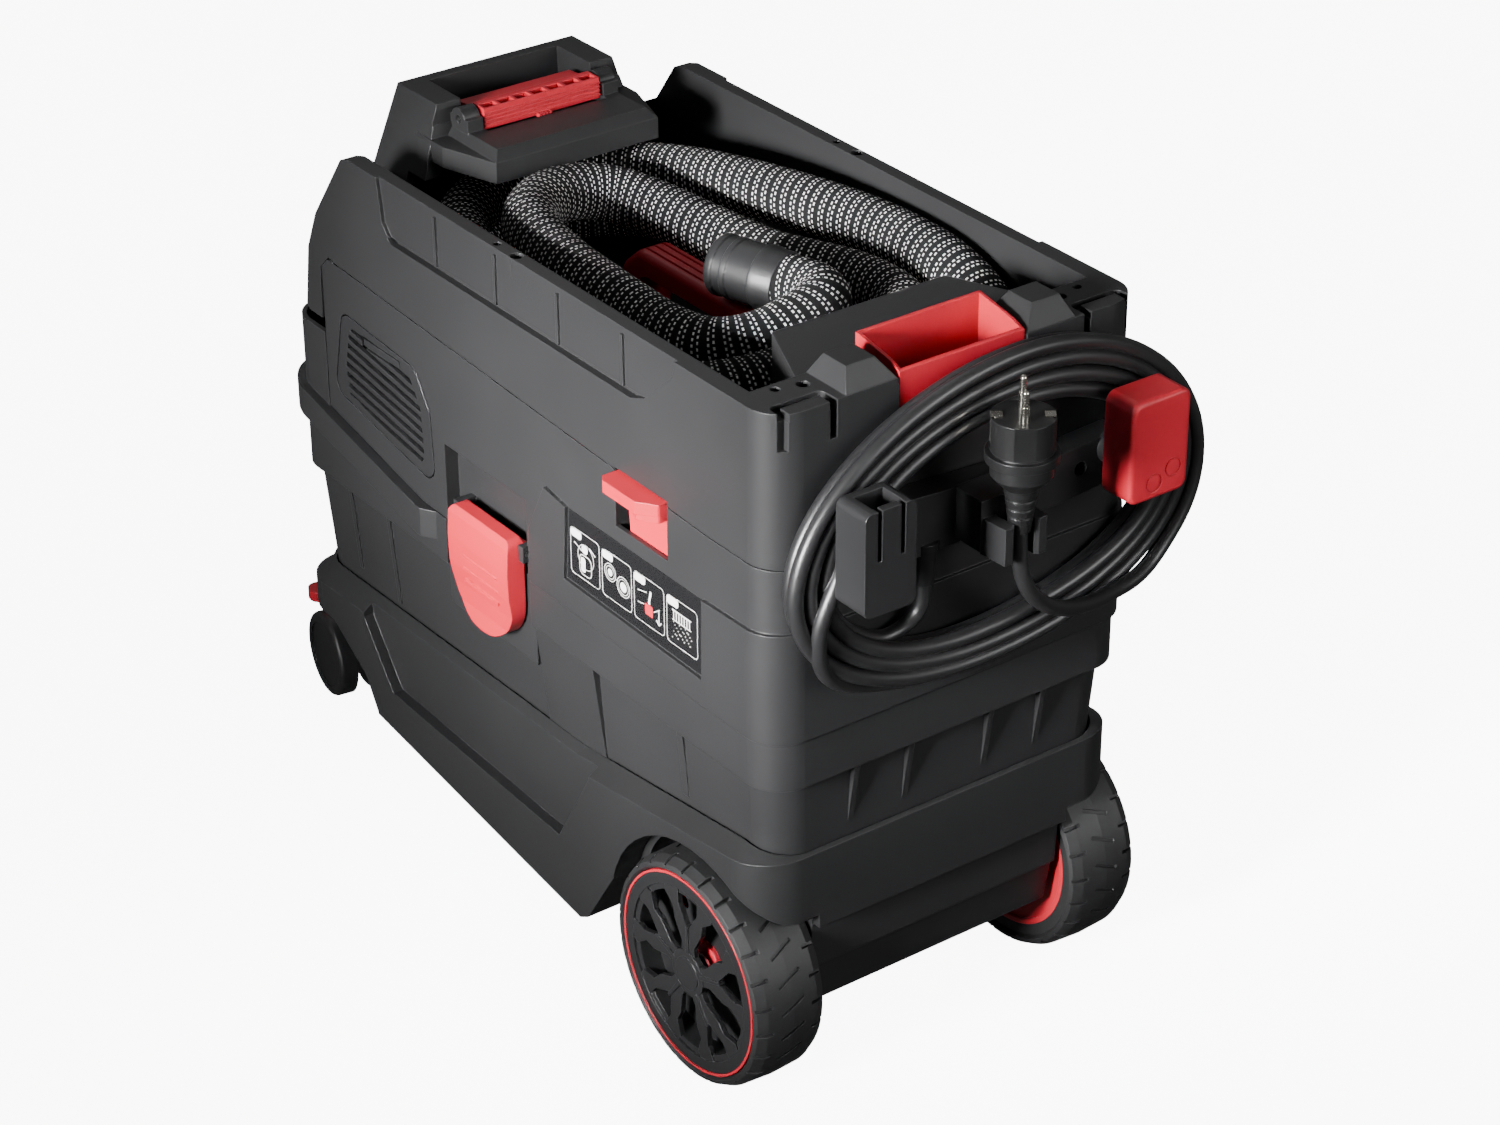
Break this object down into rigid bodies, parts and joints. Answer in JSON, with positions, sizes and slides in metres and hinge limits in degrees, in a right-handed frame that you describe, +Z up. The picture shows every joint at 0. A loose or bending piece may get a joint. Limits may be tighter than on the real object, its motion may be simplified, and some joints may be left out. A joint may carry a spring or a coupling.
{
  "type": "shop vacuum",
  "caption": "Wheeled wet-and-dry shop vacuum with latched motor head, hose tray, carrying handle, cord hooks, swivelling casters and a tool socket.",
  "frame": {"origin": "on the floor under the middle of the machine's footprint, taken without the mains lead and its plug", "axes": "+X to the machine's right side seen from the rear, +Y to the rear where the mains lead hangs, +Z up"},
  "size_m": [0.3165, 0.686, 0.491],
  "materials": {
    "body_plastic": "fine moulded texture",
    "chassis_plastic": "fine moulded texture",
    "red_plastic": "satin",
    "tyre_rubber": "matte",
    "caster_tread": "matte",
    "fitting_plastic": "satin",
    "plug_rubber": "matte",
    "cord_rubber": "satin",
    "hose_textile": "woven sleeve",
    "steel": "bright",
    "contact_brass": "nickel plated",
    "copper_winding": "varnished",
    "aluminium_fan": "bare",
    "filter_paper": "pleated",
    "foam": "open cell",
    "seal_rubber": "matte",
    "board": "laminate"
  },
  "bodies": {
    "base": {"chassis": "chassis_plastic", "rear_axle": "steel", "axle_clips": "steel", "tank": "body_plastic", "hose_inlet": "fitting_plastic", "inlet_deflector": "fitting_plastic"},
    "rear_wheel_left": {"rear_tyre_left": "tyre_rubber", "rear_rim_left": "red_plastic", "rear_wheel_cover_left": "fitting_plastic"},
    "rear_wheel_right": {"rear_tyre_right": "tyre_rubber", "rear_rim_right": "red_plastic", "rear_wheel_cover_right": "fitting_plastic"},
    "caster_left": {"caster_hood_left": "fitting_plastic"},
    "caster_right": {"caster_hood_right": "fitting_plastic"},
    "caster_wheels_left": {"caster_wheelset_left": "caster_tread"},
    "caster_wheels_right": {"caster_wheelset_right": "caster_tread"},
    "brake_left": {"caster_brake_left": "red_plastic"},
    "brake_right": {"caster_brake_right": "red_plastic"},
    "latch_left": {"side_latch_left": "red_plastic"},
    "latch_right": {"side_latch_right": "red_plastic"},
    "vent_left": {"vent_cover_left": "fitting_plastic"},
    "vent_right": {"vent_cover_right": "fitting_plastic"},
    "filter_shaker": {"filter_lever": "red_plastic"},
    "release": {"release_bar": "red_plastic"},
    "hook_turn": {"turn_hook": "red_plastic"},
    "switch": {"mode_switch": "red_plastic"},
    "dial": {"suction_dial": "fitting_plastic"},
    "flap": {"socket_flap": "fitting_plastic"},
    "rotor": {"motor_rotor": "copper_winding", "fan_impeller": "aluminium_fan"},
    "float": {"float_ball": "fitting_plastic"},
    "head": {"rim_seal": "seal_rubber", "head_shell": "body_plastic", "motor_plate": "body_plastic", "fan_housing": "fitting_plastic", "motor_stator": "steel", "filter_element": "filter_paper", "filter_frame": "fitting_plastic", "float_cage": "fitting_plastic", "control_board": "board", "exhaust_pads": "foam", "hinge_pins": "steel", "front_panel": "fitting_plastic", "tool_socket": "fitting_plastic", "top_tray": "body_plastic", "front_block": "body_plastic", "carry_handle": "red_plastic", "accessory_box": "red_plastic", "cord_bracket": "fitting_plastic", "fixed_hook": "fitting_plastic", "hook_pin": "steel", "cord_gland": "plug_rubber", "mains_lead": "cord_rubber", "mains_coil": "cord_rubber", "mains_tail": "cord_rubber", "plug_body": "plug_rubber", "plug_contacts": "contact_brass", "hose_coil": "hose_textile", "hose_cuff": "fitting_plastic", "screws": "steel"}
  },
  "joints": [
    {"name": "rear_wheel_left_spin", "type": "hinge", "parent": "base", "child": "rear_wheel_left", "pos_m": [-0.121, 0.2092, 0.075], "axis": [1, 0, 0], "continuous": true},
    {"name": "rear_wheel_right_spin", "type": "hinge", "parent": "base", "child": "rear_wheel_right", "pos_m": [0.121, 0.2092, 0.075], "axis": [1, 0, 0], "continuous": true},
    {"name": "caster_left_swivel", "type": "hinge", "parent": "base", "child": "caster_left", "pos_m": [-0.076, -0.2825, 0.074], "axis": [0, 0, 1], "continuous": true},
    {"name": "caster_left_roll", "type": "hinge", "parent": "caster_left", "child": "caster_wheels_left", "pos_m": [-0.07322, -0.30231, 0.031], "axis": [0.9903, 0.1392, 0], "continuous": true},
    {"name": "caster_left_brake", "type": "hinge", "parent": "caster_left", "child": "brake_left", "pos_m": [-0.07238, -0.30825, 0.064], "axis": [0.9903, 0.1392, 0], "range_deg": [0, 6]},
    {"name": "side_latch_left_swing", "type": "hinge", "parent": "head", "child": "latch_left", "pos_m": [-0.1335, -0.0085, 0.278], "axis": [0, 1, 0], "range_deg": [0, 50]},
    {"name": "vent_cover_left_swing", "type": "hinge", "parent": "head", "child": "vent_left", "pos_m": [-0.133, -0.1336, 0.2902], "axis": [0, -0.985, 0.1724], "range_deg": [0, 60]},
    {"name": "caster_right_swivel", "type": "hinge", "parent": "base", "child": "caster_right", "pos_m": [0.076, -0.2825, 0.074], "axis": [0, 0, 1], "continuous": true},
    {"name": "caster_right_roll", "type": "hinge", "parent": "caster_right", "child": "caster_wheels_right", "pos_m": [0.07322, -0.30231, 0.031], "axis": [0.9903, -0.1392, 0], "continuous": true},
    {"name": "caster_right_brake", "type": "hinge", "parent": "caster_right", "child": "brake_right", "pos_m": [0.07238, -0.30825, 0.064], "axis": [0.9903, -0.1392, 0], "range_deg": [0, 6]},
    {"name": "side_latch_right_swing", "type": "hinge", "parent": "head", "child": "latch_right", "pos_m": [0.1335, -0.0085, 0.278], "axis": [0, -1, 0], "range_deg": [0, 50]},
    {"name": "vent_cover_right_swing", "type": "hinge", "parent": "head", "child": "vent_right", "pos_m": [0.133, -0.1336, 0.2902], "axis": [0, 0.985, -0.1724], "range_deg": [0, 60]},
    {"name": "head_lift", "type": "slide", "parent": "base", "child": "head", "axis": [0, 0, 1], "range_m": [0, 0.16]},
    {"name": "filter_lever_push", "type": "slide", "parent": "head", "child": "filter_shaker", "axis": [0, 0, -1], "range_m": [0, 0.01], "stiffness_N_per_m": 300, "springref_m": -0.006},
    {"name": "release_bar_rock", "type": "hinge", "parent": "head", "child": "release", "pos_m": [0, -0.1515, 0.482], "axis": [1, 0, 0], "range_deg": [0, 10], "stiffness_Nm_per_rad": 0.3, "springref_deg": -17.19},
    {"name": "cord_hook_turn", "type": "hinge", "parent": "head", "child": "hook_turn", "pos_m": [-0.096, 0.3215, 0.392], "axis": [0, -1, 0], "range_deg": [0, 90]},
    {"name": "mode_switch_turn", "type": "hinge", "parent": "head", "child": "switch", "pos_m": [-0.062, -0.21, 0.3655], "axis": [0, -1, 0], "range_deg": [-45, 90]},
    {"name": "suction_dial_turn", "type": "hinge", "parent": "head", "child": "dial", "pos_m": [0, -0.21, 0.3655], "axis": [0, -1, 0], "range_deg": [-135, 135]},
    {"name": "socket_flap_swing", "type": "hinge", "parent": "head", "child": "flap", "pos_m": [0.062, -0.2125, 0.3875], "axis": [-1, 0, 0], "range_deg": [0, 95], "stiffness_Nm_per_rad": 0.01, "springref_deg": -22.92},
    {"name": "motor_spin", "type": "hinge", "parent": "head", "child": "rotor", "pos_m": [0, -0.1165, 0.33], "axis": [0, 0, 1], "continuous": true},
    {"name": "float_rise", "type": "slide", "parent": "head", "child": "float", "axis": [0, 0, 1], "range_m": [0, 0.022]}
  ]
}
